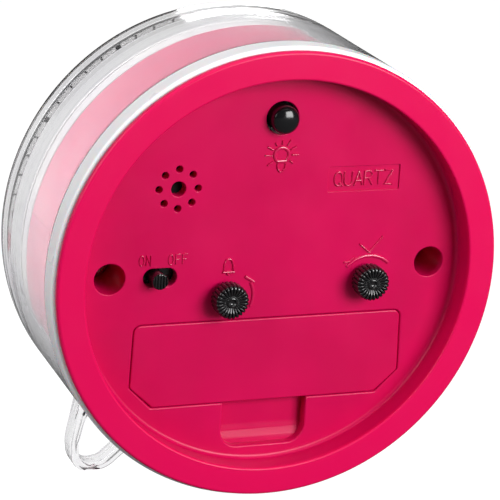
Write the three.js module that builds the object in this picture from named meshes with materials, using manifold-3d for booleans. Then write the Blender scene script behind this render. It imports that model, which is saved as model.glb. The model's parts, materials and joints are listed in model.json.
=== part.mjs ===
// Round quartz alarm clock: clear drum case on two clear feet, recessed rear cover with its controls,
// battery compartment, alarm movement with its wheels, dial and four hands.
// Millimetres. The clock is built about its own axis: +Y points out of the back, +Z to twelve o'clock and
// "depth" is the distance in front of the rear rim. The whole clock then leans back on its feet.
import * as THREE from 'three';
import { mergeVertices } from 'three/addons/utils/BufferGeometryUtils.js';
import Module from 'manifold-3d';

const wasm = await Module();
wasm.setup();

// ---------- driving dimensions ----------
const LEAN = THREE.MathUtils.degToRad(10);
const GAP = 0.3;                        // air between pieces that meet
const FIT = 0.06;                       // air between a hand and the sleeve that carries it

const RIM_RADIUS = 46;                  // rear cover, outer edge
const DISH_RADIUS = 40.3;               // recess in the rear cover
const FLOOR_DEPTH = 5.7;                // floor of the recess
const FLOOR_THICKNESS = 2.4;
const DISH_WALL = 1.3;
const RIM_THICKNESS = 1.3;

const CASE_RADIUS = 46.7;
const CASE_BORE = 43.5;
const CASE_START = RIM_THICKNESS + GAP;
const COLLAR_BORE = 42.7;               // thicker collar that centres the rear cover
const COLLAR_END = 6.5;
const SEAL_THICKNESS = 0.5;             // white ring between the collar and the rear cover
const SEAL_END = 10.4;
const CASE_LENGTH = 42.4;               // depth of the front edge
const BEZEL_START = 29.6;
const BEZEL_BORE = 40;
const LENS_SEAT = 38.4;
const LENS_BORE = 43;
const LENS_THICKNESS = 2.5;

const DRUM_RADIUS = 43.2;               // drum, dial ring and dial stack inside the case
const DRUM_START = 10.7;
const DRUM_END = 24.6;
const RING_END = 28.2;
const DIAL_THICKNESS = 0.8;

const FOOT_START = 32.5;
const FOOT_END = 37.5;

const SCREW_X = 33.9;
const SCREW_HOLE = 3.15;
const SCREW_SEAT = 17.3;                // depth where the screw heads bear

const BUTTON_Z = 31.4;
const BUTTON_RADIUS = 2.85;
const BUZZER = { x: 20.7, z: 17.8 };
const SWITCH = { x: 23.6, z: -0.2, length: 6.9, height: 3.8 };
const SWITCH_REST_X = 24.3;
const LABEL = { x: -18.2, z: 18.4, width: 15.4, height: 5.2 };

const TIME_KNOB = { x: -20.3, z: -2.8 };
const ALARM_KNOB = { x: 9.6, z: -4.9 };
const KNOB_RADIUS = 3.55;
const KNOB_FACE = 1.4;
const KNOB_HEIGHT = 3.5;
const KNOB_TEETH = 24;
const SHAFT_RADIUS = 1.2;

const DOOR = { top: -10.07, bottom: -27.6, topHalf: 28.4, sideHalf: 28.8, sideZ: -23.1, bottomHalf: 24 };
const DOOR_THICKNESS = 1.4;
const DOOR_LEDGE = 1.5;                 // width of the ledge that the door rests on
const RECESS_HALF = 9;                  // finger recess below the door
const RECESS_BOTTOM = -37.4;
const RECESS_DEPTH = 2.6;

const CELL_RADIUS = 7.1;                // one AA cell
const CELL_LENGTH = 50.5;
const CELL = { depth: 15.5, z: -19.1 };
const BAY = { half: 27.6, top: -11.6, bottom: -26.5, end: 22.9, wall: 1.2 };

const MOVEMENT = { left: -28, right: 16, bottom: -10.1, top: 17.5, start: 12, end: 28.2, wall: 1 };
const BUSH_RADIUS = 4.6;                // threaded bush of the movement in the dial

// Wheel planes inside the movement, from the rear: [depth, thickness].
const PLANE = {
  intermediate: [16.9, 0.8], second: [18.2, 0.8], third: [19.5, 0.8], centre: [20.8, 0.8],
  setting: [22.1, 1.2], hour: [23.8, 0.8], alarm: [25.1, 1],
};
// Hands in front of the dial: depth of each hand's rear face.
const HAND = { alarm: 32, hour: 33.2, minute: 34.4, second: 35.6, thickness: 0.4 };
const SLEEVE = {
  alarm: [2.7, 3.4], hour: [1.8, 2.4], cannon: [0.9, 1.5], second: 0.6,
};

const ROUND = 48;                       // facets of the large turned parts
const SMALL = 24;                       // facets of sleeves and holes
const TINY = 12;

// ---------- colours ----------
const PINK = 0xd9185c;
const BLACK = 0x161616;
const CLEAR = 0xe4e4ea;
const WHITE = 0xf2f0ee;
const STEEL = 0xb8bcc0;
const BRASS = 0xc9a24b;
const NATURAL = 0xe6e1d2;

// ---------- helpers ----------
// A closed geometry becomes a solid: merged points, no empty triangles, faces turned outwards.
function solid(geometry) {
  const bare = geometry.clone();
  bare.deleteAttribute('normal');
  bare.deleteAttribute('uv');
  const merged = mergeVertices(bare, 1e-4);
  const points = merged.attributes.position.array;
  const index = merged.index.array;
  const corner = (i) => new THREE.Vector3(points[3 * i], points[3 * i + 1], points[3 * i + 2]);
  const triangles = [];
  let volume = 0;
  for (let i = 0; i < index.length; i += 3) {
    const [a, b, c] = index.slice(i, i + 3);
    if (a === b || b === c || c === a) continue;
    triangles.push([a, b, c]);
    volume += corner(a).dot(corner(b).cross(corner(c)));
  }
  const outward = triangles.map(([a, b, c]) => (volume < 0 ? [a, c, b] : [a, b, c]));
  return new wasm.Manifold(new wasm.Mesh({
    numProp: 3,
    vertProperties: new Float32Array(points),
    triVerts: new Uint32Array(outward.flat()),
  }));
}

function join(...parts) {
  return parts.reduce((whole, part) => whole.add(part));
}

function cut(body, ...tools) {
  return tools.reduce((whole, tool) => whole.subtract(tool), body);
}

// A solid turned about the clock's axis, or about (x, z), from [radius, depth] points.
function turned(profile, facets = ROUND, x = 0, z = 0) {
  const points = profile.map(([radius, depth]) => new THREE.Vector2(radius, -depth));
  return solid(new THREE.LatheGeometry(points, facets).translate(x, 0, z));
}

function rod(radius, start, end, facets = SMALL, x = 0, z = 0) {
  return turned([[0, start], [radius, start], [radius, end], [0, end]], facets, x, z);
}

function tube(inner, outer, start, end, facets = SMALL, x = 0, z = 0) {
  const ring = [[inner, start], [outer, start], [outer, end], [inner, end], [inner, start]];
  return turned(ring, facets, x, z);
}

// An outline in the X-Z plane, swept from one depth to another.
function slab(outline, start, end) {
  const shape = Array.isArray(outline)
    ? new THREE.Shape(outline.map(([x, z]) => new THREE.Vector2(x, z)))
    : outline;
  const swept = new THREE.ExtrudeGeometry(shape, {
    depth: end - start, bevelEnabled: false, curveSegments: 8,
  });
  return solid(swept.rotateX(Math.PI / 2).translate(0, -start, 0));
}

function block(x0, x1, z0, z1, start, end) {
  return slab([[x0, z0], [x1, z0], [x1, z1], [x0, z1]], start, end);
}

// A round-ended slot outline, lying along X.
function stadium(x, z, length, height) {
  const shape = new THREE.Shape();
  const r = height / 2;
  const half = length / 2 - r;
  shape.absarc(x + half, z, r, -Math.PI / 2, Math.PI / 2, false);
  shape.absarc(x - half, z, r, Math.PI / 2, 1.5 * Math.PI, false);
  return shape;
}

const clock = new THREE.Group();

function piece(name, body, color, roughness = 0.5, metalness = 0, extra = {}) {
  const mesh = body.getMesh();
  const geometry = new THREE.BufferGeometry();
  geometry.setAttribute('position', new THREE.BufferAttribute(mesh.vertProperties, 3));
  geometry.setIndex(new THREE.BufferAttribute(mesh.triVerts, 1));
  geometry.computeVertexNormals();
  const material = new THREE.MeshStandardMaterial({ color, roughness, metalness, ...extra });
  const part = new THREE.Mesh(geometry, material);
  part.name = name;
  clock.add(part);
  return part;
}

// ---------- gears ----------
// A gear's outline: pointed teeth, the first of them at the angle "phase".
function gearOutline({ x, z, teeth, module, phase }) {
  const pitch = (teeth * module) / 2;
  const step = (2 * Math.PI) / teeth;
  const root = pitch - 0.62 * module;
  const tip = pitch + 0.42 * module;
  const at = (radius, angle) => [x + radius * Math.cos(angle), z + radius * Math.sin(angle)];
  const outline = [];
  for (let i = 0; i < teeth; i += 1) {
    const middle = phase + i * step;
    outline.push(at(tip, middle), at(root, middle + step / 2));
  }
  return outline;
}

function gear(wheel, [depth, thickness]) {
  return slab(gearOutline(wheel), depth, depth + thickness);
}

// The phase that puts the driven wheel's gaps on the driver's teeth.
function meshPhase(driver, driven) {
  const angle = Math.atan2(driven.z - driver.z, driven.x - driver.x);
  const driverStep = (2 * Math.PI) / driver.teeth;
  const past = (angle - driver.phase) / driverStep;
  const share = past - Math.floor(past);
  return angle + Math.PI + (share - 0.5) * ((2 * Math.PI) / driven.teeth);
}

function meshed(driver, driven) {
  return { ...driven, phase: meshPhase(driver, { ...driven }) };
}

const CENTRE = { x: 0, z: 0 };

// Setting train: time knob -> minute wheel -> cannon pinion, and minute pinion -> hour wheel, 12 to 1.
const TIME_DISTANCE = Math.hypot(TIME_KNOB.x, TIME_KNOB.z);
const CANNON_TEETH = 8;
const MINUTE_TEETH = 24;
const TIME_TEETH = 20;
const MINUTE_PINION_TEETH = 8;
const HOUR_TEETH = 32;
const SETTING_MODULE = TIME_DISTANCE / ((CANNON_TEETH + 2 * MINUTE_TEETH + TIME_TEETH) / 2);
const MINUTE_DISTANCE = (SETTING_MODULE * (CANNON_TEETH + MINUTE_TEETH)) / 2;
const HOUR_MODULE = (2 * MINUTE_DISTANCE) / (MINUTE_PINION_TEETH + HOUR_TEETH);
const MINUTE_AXIS = {
  x: (TIME_KNOB.x * MINUTE_DISTANCE) / TIME_DISTANCE,
  z: (TIME_KNOB.z * MINUTE_DISTANCE) / TIME_DISTANCE,
};
const timeGear = { ...TIME_KNOB, teeth: TIME_TEETH, module: SETTING_MODULE, phase: 0 };
const minuteGear = meshed(timeGear, { ...MINUTE_AXIS, teeth: MINUTE_TEETH, module: SETTING_MODULE });
const cannonGear = meshed(minuteGear, { ...CENTRE, teeth: CANNON_TEETH, module: SETTING_MODULE });
const minutePinion = { ...MINUTE_AXIS, teeth: MINUTE_PINION_TEETH, module: HOUR_MODULE, phase: 0 };
const hourGear = meshed(minutePinion, { ...CENTRE, teeth: HOUR_TEETH, module: HOUR_MODULE });

// Alarm train: alarm knob -> alarm wheel, 2 to 1.
const ALARM_PINION_TEETH = 12;
const ALARM_TEETH = 24;
const ALARM_MODULE = (2 * Math.hypot(ALARM_KNOB.x, ALARM_KNOB.z)) / (ALARM_PINION_TEETH + ALARM_TEETH);
const alarmPinion = { ...ALARM_KNOB, teeth: ALARM_PINION_TEETH, module: ALARM_MODULE, phase: 0 };
const alarmGear = meshed(alarmPinion, { ...CENTRE, teeth: ALARM_TEETH, module: ALARM_MODULE });

// Going train: rotor -> intermediate wheel -> second wheel (30 to 1) -> third wheel -> centre wheel (60 to 1).
const SECOND_MODULE = 0.24;
const INTERMEDIATE_ANGLE = THREE.MathUtils.degToRad(20);
const ROTOR_ANGLE = THREE.MathUtils.degToRad(60);
const THIRD_ANGLE = THREE.MathUtils.degToRad(68.5);
const secondGear = { ...CENTRE, teeth: 48, module: SECOND_MODULE, phase: 0 };
const intermediateDistance = (SECOND_MODULE * (8 + 48)) / 2;
const INTERMEDIATE_AXIS = {
  x: intermediateDistance * Math.cos(INTERMEDIATE_ANGLE),
  z: intermediateDistance * Math.sin(INTERMEDIATE_ANGLE),
};
const intermediatePinion = meshed(secondGear, { ...INTERMEDIATE_AXIS, teeth: 8, module: SECOND_MODULE });
const ROTOR_MODULE = 0.3;
const intermediateGear = { ...INTERMEDIATE_AXIS, teeth: 30, module: ROTOR_MODULE, phase: 0 };
const rotorDistance = (ROTOR_MODULE * (6 + 30)) / 2;
const ROTOR_AXIS = {
  x: INTERMEDIATE_AXIS.x + rotorDistance * Math.cos(ROTOR_ANGLE),
  z: INTERMEDIATE_AXIS.z + rotorDistance * Math.sin(ROTOR_ANGLE),
};
const rotorPinion = meshed(intermediateGear, { ...ROTOR_AXIS, teeth: 6, module: ROTOR_MODULE });
const THIRD_DISTANCE = 8.16;
const THIRD_AXIS = {
  x: THIRD_DISTANCE * Math.cos(THIRD_ANGLE),
  z: THIRD_DISTANCE * Math.sin(THIRD_ANGLE),
};
const THIRD_MODULE = (2 * THIRD_DISTANCE) / (8 + 60);
const CENTRE_MODULE = (2 * THIRD_DISTANCE) / (8 + 64);
const secondPinion = { ...CENTRE, teeth: 8, module: THIRD_MODULE, phase: 0 };
const thirdGear = meshed(secondPinion, { ...THIRD_AXIS, teeth: 60, module: THIRD_MODULE });
const thirdPinion = { ...THIRD_AXIS, teeth: 8, module: CENTRE_MODULE, phase: 0 };
const centreGear = meshed(thirdPinion, { ...CENTRE, teeth: 64, module: CENTRE_MODULE });

// ---------- housing ----------
function doorOutline(offset) {
  return [
    [-DOOR.topHalf - offset + 1, DOOR.top + offset], [-DOOR.topHalf - offset, DOOR.top + offset - 1],
    [-DOOR.sideHalf - offset, DOOR.sideZ], [-DOOR.bottomHalf - offset, DOOR.bottom - offset],
    [DOOR.bottomHalf + offset, DOOR.bottom - offset], [DOOR.sideHalf + offset, DOOR.sideZ],
    [DOOR.topHalf + offset, DOOR.top + offset - 1], [DOOR.topHalf + offset - 1, DOOR.top + offset],
  ];
}

function fingerRecess(inset) {
  const half = RECESS_HALF - inset;
  const bottom = RECESS_BOTTOM + inset;
  const corner = 3.7 - inset;
  const shape = new THREE.Shape();
  shape.moveTo(half, DOOR.bottom + 1);
  shape.lineTo(-half, DOOR.bottom + 1);
  shape.absarc(-half + corner, bottom + corner, corner, Math.PI, 1.5 * Math.PI, false);
  shape.absarc(half - corner, bottom + corner, corner, 1.5 * Math.PI, 2 * Math.PI, false);
  return shape;
}

function rearCover() {
  const floorBack = FLOOR_DEPTH + FLOOR_THICKNESS;
  const wallOuter = DISH_RADIUS + DISH_WALL;
  const shell = turned([
    [0, FLOOR_DEPTH], [DISH_RADIUS - 0.6, FLOOR_DEPTH], [DISH_RADIUS, FLOOR_DEPTH - 0.6],
    [DISH_RADIUS, 0.25], [DISH_RADIUS + 0.25, 0], [RIM_RADIUS - 1, 0], [RIM_RADIUS - 0.3, 0.3],
    [RIM_RADIUS, 1], [RIM_RADIUS, RIM_THICKNESS], [wallOuter, RIM_THICKNESS],
    [wallOuter, floorBack], [0, floorBack],
  ]);
  const bay = block(-BAY.half - BAY.wall, BAY.half + BAY.wall, BAY.bottom - BAY.wall, BAY.top + BAY.wall,
    floorBack - 0.5, BAY.end + BAY.wall);
  const pocket = slab(fingerRecess(-1.2), floorBack - 0.5, FLOOR_DEPTH + RECESS_DEPTH + 1.2);
  const towers = [-SCREW_X, SCREW_X].map(
    (x) => rod(SCREW_HOLE + 1.2, floorBack - 0.5, SCREW_SEAT + 1.2, SMALL, x),
  );
  const towerHoles = [-SCREW_X, SCREW_X].map((x) => join(
    rod(SCREW_HOLE, FLOOR_DEPTH - 1, SCREW_SEAT, SMALL, x),
    rod(1.6, SCREW_SEAT - 1, SCREW_SEAT + 3, TINY, x),
  ));
  const buzzerHoles = [rod(1.5, 5, 9, TINY, BUZZER.x, BUZZER.z)];
  for (let i = 0; i < 8; i += 1) {
    const angle = (i * Math.PI) / 4;
    buzzerHoles.push(rod(0.75, 5, 9, 8, BUZZER.x + 4 * Math.cos(angle), BUZZER.z + 4 * Math.sin(angle)));
  }
  return cut(
    join(shell, bay, pocket, ...towers),
    slab(doorOutline(GAP), FLOOR_DEPTH - 1, FLOOR_DEPTH + DOOR_THICKNESS + GAP),
    slab(doorOutline(-DOOR_LEDGE), FLOOR_DEPTH, floorBack),
    block(-BAY.half, BAY.half, BAY.bottom, BAY.top, floorBack - FIT, BAY.end),
    slab(fingerRecess(0), FLOOR_DEPTH - 1, FLOOR_DEPTH + RECESS_DEPTH),
    rod(BUTTON_RADIUS + 0.5, 5, 9, SMALL, 0, BUTTON_Z),
    rod(SHAFT_RADIUS + 0.4, 5, 9, TINY, TIME_KNOB.x, TIME_KNOB.z),
    rod(SHAFT_RADIUS + 0.4, 5, 9, TINY, ALARM_KNOB.x, ALARM_KNOB.z),
    slab(stadium(SWITCH.x, SWITCH.z, SWITCH.length, SWITCH.height), 5, 9),
    block(LABEL.x - LABEL.width / 2, LABEL.x + LABEL.width / 2, LABEL.z - LABEL.height / 2,
      LABEL.z + LABEL.height / 2, FLOOR_DEPTH - 1, FLOOR_DEPTH + 0.2),
    ...towerHoles,
    ...buzzerHoles,
  );
}

// One foot is a U-shaped strap below the bezel; the ground plane trims its sole.
function foot(side) {
  const outer = [[27, -34], [32.2, -35], [32.6, -47.5], [31.4, -50.3], [29.4, -54], [24.5, -54],
    [20.2, -48.8], [11.5, -43.2], [16, -38]];
  const inner = [[28.6, -36], [30.2, -41], [31.1, -46.8], [30.3, -49.2], [28.8, -50.4], [25.9, -50.4],
    [22.4, -47.3], [17.8, -42.2]];
  const mirror = (outline) => outline.map(([x, z]) => [side * x, z]);
  const strap = cut(
    slab(mirror(outer), FOOT_START, FOOT_END),
    slab(mirror(inner), FOOT_START - 1, FOOT_END + 1),
  );
  return cut(strap, rod(CASE_RADIUS - 1, FOOT_START - 1, FOOT_END + 1));
}

function clearCase() {
  const edge = CASE_LENGTH;
  const shell = turned([
    [COLLAR_BORE, CASE_START], [CASE_RADIUS - 0.8, CASE_START], [CASE_RADIUS - 0.25, CASE_START + 0.2],
    [CASE_RADIUS, CASE_START + 0.8], [CASE_RADIUS, edge - 2], [CASE_RADIUS - 0.5, edge - 0.7],
    [CASE_RADIUS - 1.5, edge], [LENS_BORE, edge], [LENS_BORE, LENS_SEAT], [BEZEL_BORE, LENS_SEAT],
    [BEZEL_BORE, BEZEL_START], [CASE_BORE, BEZEL_START], [CASE_BORE, COLLAR_END],
    [COLLAR_BORE, COLLAR_END], [COLLAR_BORE, CASE_START],
  ]);
  // The ground touches the case where its rounded rear edge meets the cylinder.
  const groundZ = (depth) => -CASE_RADIUS - (depth - CASE_START - 0.8) * Math.tan(LEAN);
  const below = new THREE.BoxGeometry(120, 80, 20);
  below.translate(0, 0, -10);
  below.rotateX(LEAN);
  below.translate(0, -FOOT_START, groundZ(FOOT_START));
  return cut(join(shell, foot(-1), foot(1)), solid(below));
}

function innerDrum() {
  const bosses = [-1, 1].map((side) => {
    const x = side * SCREW_X;
    const web = block(Math.min(x, side * 42), Math.max(x, side * 42), -1.5, 1.5, SCREW_SEAT + 1.5, DRUM_END);
    return cut(join(rod(3.8, SCREW_SEAT + 1.5, DRUM_END, SMALL, x), web), rod(1.6, 15, 26, TINY, x));
  });
  return join(tube(DRUM_RADIUS - 1.8, DRUM_RADIUS, DRUM_START, DRUM_END, ROUND), ...bosses);
}

piece('rear_cover', rearCover(), PINK, 0.38);
piece('clear_case', clearCase(), CLEAR, 0.05, 0, { transparent: true, opacity: 0.4 });
piece('front_lens', rod(LENS_BORE - GAP, LENS_SEAT + GAP, LENS_SEAT + GAP + LENS_THICKNESS, ROUND), CLEAR, 0.03, 0,
  { transparent: true, opacity: 0.25 });
piece('case_seal', tube(COLLAR_BORE - GAP - SEAL_THICKNESS, COLLAR_BORE - GAP, CASE_START + 0.2, SEAL_END, ROUND),
  WHITE, 0.5);
piece('inner_drum', innerDrum(), PINK, 0.4);
piece('dial_ring', tube(DRUM_RADIUS - 2.8, DRUM_RADIUS, DRUM_END + GAP, RING_END, ROUND), WHITE, 0.5);
piece('dial', tube(BUSH_RADIUS + GAP, DRUM_RADIUS, RING_END + GAP, RING_END + GAP + DIAL_THICKNESS, ROUND),
  WHITE, 0.6);

// ---------- battery compartment ----------
function batteryCell() {
  const nub = 1.4;
  const body = new THREE.CylinderGeometry(CELL_RADIUS, CELL_RADIUS, CELL_LENGTH - nub, SMALL);
  const cap = new THREE.CylinderGeometry(2.7, 2.7, nub + 1, TINY);
  body.translate(0, -nub / 2, 0);
  cap.translate(0, (CELL_LENGTH - nub - 1) / 2, 0);
  const place = (geometry) => solid(geometry.rotateZ(-Math.PI / 2).translate(0.4, -CELL.depth, CELL.z));
  return join(place(body), place(cap));
}

// Conical coil contact, closed as its outer cone, on its plate.
function springContact() {
  const plateX = -BAY.half + GAP;
  const cone = new THREE.CylinderGeometry(2.2, 4.2, 1.6, TINY);
  cone.rotateZ(-Math.PI / 2).translate(plateX + 1.2, -CELL.depth, CELL.z);
  return join(
    block(plateX, plateX + 0.5, CELL.z - 5.5, CELL.z + 5.5, CELL.depth - 5.5, CELL.depth + 5.5),
    solid(cone),
  );
}

piece('battery_door', slab(doorOutline(0), FLOOR_DEPTH, FLOOR_DEPTH + DOOR_THICKNESS), PINK, 0.38);
piece('battery_cell', batteryCell(), 0x6c7074, 0.35, 0.4);
piece('battery_spring_contact', springContact(), STEEL, 0.3, 1);
piece('battery_plus_contact', block(BAY.half - 1.1, BAY.half - 0.6, CELL.z - 5, CELL.z + 5,
  CELL.depth - 5, CELL.depth + 5), STEEL, 0.3, 1);

// ---------- light button, its switch and the lamp ----------
const FLANGE_DEPTH = FLOOR_DEPTH + FLOOR_THICKNESS + GAP;
piece('light_button', turned([
  [0, 2.7], [1.2, 2.95], [2.1, 3.5], [2.65, 4.3], [BUTTON_RADIUS, 5.3], [BUTTON_RADIUS, FLANGE_DEPTH],
  [4.3, FLANGE_DEPTH], [4.3, FLANGE_DEPTH + 0.9], [1.3, FLANGE_DEPTH + 0.9], [1.3, 12.4], [0, 12.4],
], SMALL, 0, BUTTON_Z), BLACK, 0.15);
piece('light_button_spring', tube(1.9, 3, FLANGE_DEPTH + 1.2, 14.2, TINY, 0, BUTTON_Z), STEEL, 0.3, 1);
piece('light_switch_board', block(-8, 8, 26.4, 36.4, 14.5, 15.7), 0x2f6b3c, 0.5);
piece('dial_lamp', turned([[0, 16], [1.5, 16], [1.5, 19.6], [1.1, 20.5], [0, 20.9]], TINY, 0, 34), 0xf6f0c8, 0.2);

// ---------- alarm on/off switch ----------
function switchSlider() {
  const post = rod(1.6, 3, FLANGE_DEPTH + 0.5, TINY, SWITCH_REST_X, SWITCH.z);
  return join(post, block(20, 29, SWITCH.z - 3, SWITCH.z + 3, FLANGE_DEPTH, FLANGE_DEPTH + 0.9));
}
piece('alarm_switch_slider', switchSlider(), BLACK, 0.35);
piece('alarm_switch_base', block(18, 28.6, SWITCH.z - 3.6, SWITCH.z + 3.6, FLANGE_DEPTH + 1.2, 13), 0x30302f, 0.5);

// ---------- buzzer ----------
piece('buzzer_holder', cut(
  rod(8.6, FLANGE_DEPTH, 11.6, SMALL, BUZZER.x, BUZZER.z),
  rod(7.9, FLANGE_DEPTH - 1, 10.8, SMALL, BUZZER.x, BUZZER.z),
), BLACK, 0.5);
piece('buzzer_disc', rod(7.6, 9.2, 9.6, SMALL, BUZZER.x, BUZZER.z), BRASS, 0.3, 1);
piece('buzzer_element', rod(5, 9.7, 10, SMALL, BUZZER.x, BUZZER.z), WHITE, 0.4);

// ---------- case screws ----------
for (const [side, x] of [['left', SCREW_X], ['right', -SCREW_X]]) {
  const head = rod(2.8, SCREW_SEAT - 2.1, SCREW_SEAT - GAP, SMALL, x);
  const shank = rod(1.25, SCREW_SEAT - 1, 22.8, TINY, x);
  const slot = block(x - 1.9, x + 1.9, -0.35, 0.35, SCREW_SEAT - 3, SCREW_SEAT - 1.2);
  const cross = block(x - 0.35, x + 0.35, -1.9, 1.9, SCREW_SEAT - 3, SCREW_SEAT - 1.2);
  piece(`case_screw_${side}`, cut(join(head, shank), slot, cross), STEEL, 0.35, 1);
}

// ---------- knobs and setting shafts ----------
function knob({ x, z }) {
  const outline = [];
  for (let i = 0; i < KNOB_TEETH; i += 1) {
    for (const [share, radius] of [[0, KNOB_RADIUS], [0.5, KNOB_RADIUS - 0.35]]) {
      const angle = ((i + share) * 2 * Math.PI) / KNOB_TEETH;
      outline.push([x + radius * Math.cos(angle), z + radius * Math.sin(angle)]);
    }
  }
  const body = slab(outline, KNOB_FACE, KNOB_FACE + KNOB_HEIGHT);
  const dimple = rod(1, KNOB_FACE - 1, KNOB_FACE + 0.4, TINY, x, z);
  const bore = rod(SHAFT_RADIUS + FIT, KNOB_FACE + 1, KNOB_FACE + KNOB_HEIGHT + 1, TINY, x, z);
  return cut(body, dimple, bore);
}

function settingShaft({ x, z }, wheel, plane) {
  const end = plane[0] + plane[1];
  return join(
    rod(SHAFT_RADIUS, KNOB_FACE + 1 + FIT, end, TINY, x, z),
    rod(0.5, end - 0.5, end + 0.4, TINY, x, z),
    gear(wheel, plane),
  );
}

piece('time_knob', knob(TIME_KNOB), BLACK, 0.4);
piece('time_set_shaft', settingShaft(TIME_KNOB, timeGear, PLANE.setting), NATURAL, 0.5);
piece('alarm_knob', knob(ALARM_KNOB), BLACK, 0.4);
piece('alarm_set_shaft', settingShaft(ALARM_KNOB, alarmPinion, PLANE.alarm), NATURAL, 0.5);

// ---------- movement case ----------
const { left, right, bottom, top, start, end, wall } = MOVEMENT;
const PLATE = 1.5;
piece('movement_rear_case', cut(
  block(left, right, bottom, top, start, end - PLATE - GAP),
  block(left + wall, right - wall, bottom + wall, top - wall, start + wall, end),
  rod(SHAFT_RADIUS + 0.4, start - 1, start + 2, TINY, TIME_KNOB.x, TIME_KNOB.z),
  rod(SHAFT_RADIUS + 0.4, start - 1, start + 2, TINY, ALARM_KNOB.x, ALARM_KNOB.z),
), NATURAL, 0.5);
piece('movement_front_case', cut(
  join(block(left, right, bottom, top, end - PLATE, end), rod(BUSH_RADIUS, end - 1, 31.3)),
  rod(SLEEVE.alarm[1] + GAP, end - 3, 33),
), NATURAL, 0.5);
const hexagon = [0, 1, 2, 3, 4, 5].map((i) => {
  const angle = (i * Math.PI) / 3;
  return [7.4 * Math.cos(angle), 7.4 * Math.sin(angle)];
});
piece('movement_nut', cut(slab(hexagon, 29.6, 31), rod(BUSH_RADIUS + GAP, 29, 32)), BRASS, 0.3, 1);

// ---------- electronics and motor ----------
const COIL_Z = 13;
const COIL_DEPTH = 15.9;
piece('circuit_board', block(-26, -9.5, 3, 15.8, 13.4, 14.2), 0x2f6b3c, 0.5);
piece('timing_chip', turned([[0, 14.5], [2.6, 14.5], [1.9, 15.4], [0, 15.7]], TINY, -16, 6.5), BLACK, 0.3);
piece('quartz_crystal', block(-24, -17.5, 11.5, 13.5, 14.5, 16.5), STEEL, 0.25, 1);

function alongX(inner, outer, x0, x1) {
  const ring = [[inner, x0], [outer, x0], [outer, x1], [inner, x1], [inner, x0]];
  const points = ring.map(([radius, x]) => new THREE.Vector2(radius, x));
  const geometry = new THREE.LatheGeometry(points, TINY).rotateZ(-Math.PI / 2);
  return solid(geometry.translate(0, -COIL_DEPTH, COIL_Z));
}
piece('coil', alongX(1.4, 2.1, -6, 5), 0xb4622d, 0.4, 0.6);
piece('stator', cut(
  join(
    block(-8.5, 13, COIL_Z - 0.75, COIL_Z + 0.75, COIL_DEPTH - 0.75, COIL_DEPTH + 0.75),
    block(5.8, 13, 3.4, COIL_Z + 0.2, 15.3, 16.3),
  ),
  rod(2.3, 14, 18, SMALL, ROTOR_AXIS.x, ROTOR_AXIS.z),
), STEEL, 0.4, 1);
piece('rotor', join(
  rod(1.9, 14.8, 16.6, SMALL, ROTOR_AXIS.x, ROTOR_AXIS.z),
  rod(0.5, 14.3, 18, TINY, ROTOR_AXIS.x, ROTOR_AXIS.z),
  gear(rotorPinion, PLANE.intermediate),
), 0x55585c, 0.4, 0.7);

// ---------- wheels ----------
piece('intermediate_wheel', join(
  gear(intermediateGear, PLANE.intermediate),
  gear(intermediatePinion, [PLANE.second[0] - 0.6, 1.4]),
  rod(0.4, 16.6, 19.2, TINY, INTERMEDIATE_AXIS.x, INTERMEDIATE_AXIS.z),
), NATURAL, 0.5);
piece('second_wheel', join(
  gear(secondGear, PLANE.second),
  gear(secondPinion, [PLANE.third[0] - 0.6, 1.4]),
  rod(SLEEVE.second, 17.7, HAND.second + HAND.thickness, TINY),
), NATURAL, 0.5);
piece('third_wheel', join(
  gear(thirdGear, PLANE.third),
  gear(thirdPinion, [PLANE.centre[0] - 0.6, 1.4]),
  rod(0.4, 19.2, 21.8, TINY, THIRD_AXIS.x, THIRD_AXIS.z),
), NATURAL, 0.5);
piece('centre_wheel', cut(gear(centreGear, PLANE.centre), rod(0.9, 20, 22.5, TINY)), NATURAL, 0.5);
piece('cannon_pinion', cut(
  join(gear(cannonGear, PLANE.setting), rod(SLEEVE.cannon[1], 23, HAND.minute + HAND.thickness)),
  rod(SLEEVE.cannon[0], 21, 36, TINY),
), NATURAL, 0.5);
piece('minute_wheel', join(
  gear(minuteGear, PLANE.setting),
  gear(minutePinion, [PLANE.hour[0] - 0.6, 1.4]),
  rod(0.5, 21.9, 24.9, TINY, MINUTE_AXIS.x, MINUTE_AXIS.z),
), NATURAL, 0.5);

function sleeveWheel(wheel, plane, [inner, outer], handDepth) {
  const body = join(gear(wheel, plane), rod(outer, plane[0] + 0.2, handDepth + HAND.thickness));
  return cut(body, rod(inner, plane[0] - 1, handDepth + 1));
}
piece('hour_wheel', sleeveWheel(hourGear, PLANE.hour, SLEEVE.hour, HAND.hour), NATURAL, 0.5);
piece('alarm_wheel', sleeveWheel(alarmGear, PLANE.alarm, SLEEVE.alarm, HAND.alarm), NATURAL, 0.5);

// ---------- hands ----------
// A tapered hand pointing along +X, turned to a dial angle; the hub is bored for its sleeve.
function hand({ length, tail, width, hub, bore, depth, angle }) {
  const c = Math.cos(angle);
  const s = Math.sin(angle);
  const blade = [[-tail, -width / 2], [length * 0.8, -width / 2], [length, 0], [length * 0.8, width / 2],
    [-tail, width / 2]].map(([x, z]) => [x * c - z * s, x * s + z * c]);
  return cut(
    join(slab(blade, depth, depth + HAND.thickness), rod(hub, depth, depth + HAND.thickness, TINY)),
    rod(bore, depth - 1, depth + 1),
  );
}
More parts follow.
